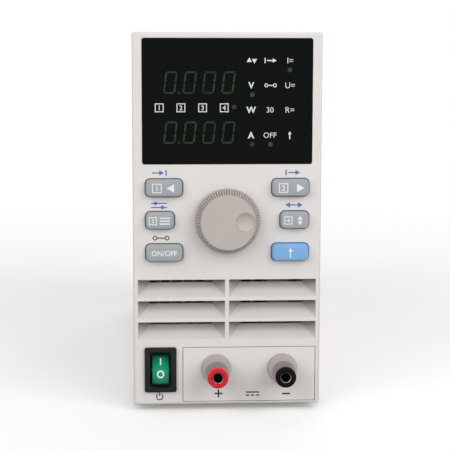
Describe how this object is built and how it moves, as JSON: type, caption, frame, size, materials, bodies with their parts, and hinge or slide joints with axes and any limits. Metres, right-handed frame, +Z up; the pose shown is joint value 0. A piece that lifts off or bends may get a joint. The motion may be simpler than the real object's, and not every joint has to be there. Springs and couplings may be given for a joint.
{
  "type": "dc electronic load",
  "caption": "Bench dc electronic load: tall narrow case with dark display window, keypad, dial, louvres, power rocker and a pair of binding posts.",
  "frame": {"origin": "centre of the box's underside, at the level of the feet", "axes": "+Z up, the front panel faces -Y, +X to the right as seen from the front"},
  "size_m": [0.088, 0.282, 0.178],
  "materials": {
    "bezel_plastic": "fine moulded texture, warm light grey",
    "window_plastic": "polished smoked acrylic",
    "key_rubber": "smooth silicone",
    "shift_rubber": "smooth silicone",
    "knob_plastic": "satin moulded grey",
    "case_paint": "fine textured powder coat",
    "zinc_steel": "zinc plated",
    "nickel": "bright nickel plate",
    "copper": "tinned copper strip",
    "brass_part": "tin bronze",
    "aluminium_sink": "plain extruded",
    "rocker_green": "translucent green",
    "switch_black": "moulded",
    "red_plastic": "moulded red",
    "black_plastic": "moulded black",
    "foot_rubber": "soft black rubber",
    "board_green": "solder resist",
    "digit_glass": "dark display glass",
    "lamp_green": "green lens",
    "lamination": "varnished laminations",
    "coil_tape": "taped winding",
    "fuse_glass": "glass tube",
    "selector_red": "moulded red"
  },
  "bodies": {
    "case": {"front_bezel": "bezel_plastic", "terminal_plate": "bezel_plastic", "display_window": "window_plastic", "keypad_mat": "key_rubber", "post_insulators": "knob_plastic", "case_cover": "case_paint", "rear_panel": "case_paint", "base_tray": "zinc_steel", "component_shelf": "zinc_steel", "display_board_screws": "zinc_steel", "foot_screws": "zinc_steel", "cover_screws": "zinc_steel", "bezel_screws": "zinc_steel", "rear_panel_screws": "zinc_steel", "fan_screws": "zinc_steel", "inlet_screws": "zinc_steel", "post_nuts": "zinc_steel", "positive_stud": "nickel", "negative_stud": "nickel", "fan_guard": "nickel", "inlet_pins": "nickel", "positive_busbar": "copper", "negative_busbar": "copper", "switch_terminals": "brass_part", "board_standoffs": "brass_part", "heatsink": "aluminium_sink", "rocker_switch_housing": "switch_black", "encoder_body": "black_plastic", "power_transistors": "black_plastic", "fan_frame": "black_plastic", "mains_inlet": "black_plastic", "voltage_selector": "black_plastic", "rubber_feet": "foot_rubber", "display_board": "board_green", "power_board": "board_green", "control_board": "board_green", "upper_digit_display": "digit_glass", "lower_digit_display": "digit_glass", "indicator_lamps": "lamp_green", "transformer_core": "lamination", "transformer_winding": "coil_tape"},
    "key_left": {"key_left": "key_rubber"},
    "key_right": {"key_right": "key_rubber"},
    "key_view": {"key_view": "key_rubber"},
    "key_mode": {"key_mode": "key_rubber"},
    "key_on_off": {"key_on_off": "key_rubber"},
    "key_shift": {"key_shift": "shift_rubber"},
    "dial": {"encoder_knob": "knob_plastic", "encoder_shaft": "zinc_steel"},
    "rocker": {"power_rocker": "rocker_green"},
    "positive_clamp": {"positive_clamp_washer": "nickel"},
    "positive_cap_assembly": {"positive_cap": "knob_plastic", "positive_tip_ring": "red_plastic"},
    "negative_clamp": {"negative_clamp_washer": "nickel"},
    "negative_cap_assembly": {"negative_cap": "knob_plastic", "negative_tip_ring": "black_plastic"},
    "fan_wheel": {"fan_rotor": "black_plastic"},
    "fuse_carrier": {"fuse_drawer": "black_plastic", "mains_fuse": "fuse_glass"},
    "voltage_slider": {"selector_slider": "selector_red"}
  },
  "joints": [
    {"name": "key_left_press", "type": "slide", "parent": "case", "child": "key_left", "axis": [0, 1, 0], "range_m": [0, 0.0012], "stiffness_N_per_m": 800},
    {"name": "key_right_press", "type": "slide", "parent": "case", "child": "key_right", "axis": [0, 1, 0], "range_m": [0, 0.0012], "stiffness_N_per_m": 800},
    {"name": "key_view_press", "type": "slide", "parent": "case", "child": "key_view", "axis": [0, 1, 0], "range_m": [0, 0.0012], "stiffness_N_per_m": 800},
    {"name": "key_mode_press", "type": "slide", "parent": "case", "child": "key_mode", "axis": [0, 1, 0], "range_m": [0, 0.0012], "stiffness_N_per_m": 800},
    {"name": "key_on_off_press", "type": "slide", "parent": "case", "child": "key_on_off", "axis": [0, 1, 0], "range_m": [0, 0.0012], "stiffness_N_per_m": 800},
    {"name": "key_shift_press", "type": "slide", "parent": "case", "child": "key_shift", "axis": [0, 1, 0], "range_m": [0, 0.0012], "stiffness_N_per_m": 800},
    {"name": "dial_turn", "type": "hinge", "parent": "case", "child": "dial", "pos_m": [0, -0.125, 0.091], "axis": [0, 1, 0], "continuous": true},
    {"name": "rocker_tilt", "type": "hinge", "parent": "case", "child": "rocker", "pos_m": [-0.0314, -0.1205, 0.0201], "axis": [1, 0, 0], "range_deg": [0, 20]},
    {"name": "positive_clamp_slide", "type": "slide", "parent": "case", "child": "positive_clamp", "axis": [0, -1, 0], "range_m": [0, 0.004]},
    {"name": "positive_cap_screw", "type": "hinge", "parent": "positive_clamp", "child": "positive_cap_assembly", "pos_m": [-0.00515, -0.131, 0.0203], "axis": [0, -1, 0], "range_deg": [0, 1800]},
    {"name": "negative_clamp_slide", "type": "slide", "parent": "case", "child": "negative_clamp", "axis": [0, -1, 0], "range_m": [0, 0.004]},
    {"name": "negative_cap_screw", "type": "hinge", "parent": "negative_clamp", "child": "negative_cap_assembly", "pos_m": [0.02615, -0.131, 0.0203], "axis": [0, -1, 0], "range_deg": [0, 1800]},
    {"name": "fan_spin", "type": "hinge", "parent": "case", "child": "fan_wheel", "pos_m": [0, 0.123, 0.0545], "axis": [0, 1, 0], "continuous": true},
    {"name": "fuse_drawer_slide", "type": "slide", "parent": "case", "child": "fuse_carrier", "axis": [0, 1, 0], "range_m": [0, 0.018]},
    {"name": "selector_slide", "type": "slide", "parent": "case", "child": "voltage_slider", "axis": [0, 0, 1], "range_m": [0, 0.005]}
  ],
  "couplings": [
    {"joint": "positive_cap_screw", "follows": "positive_clamp_slide", "rad_per_m": 7853.9},
    {"joint": "negative_cap_screw", "follows": "negative_clamp_slide", "rad_per_m": 7853.9}
  ]
}
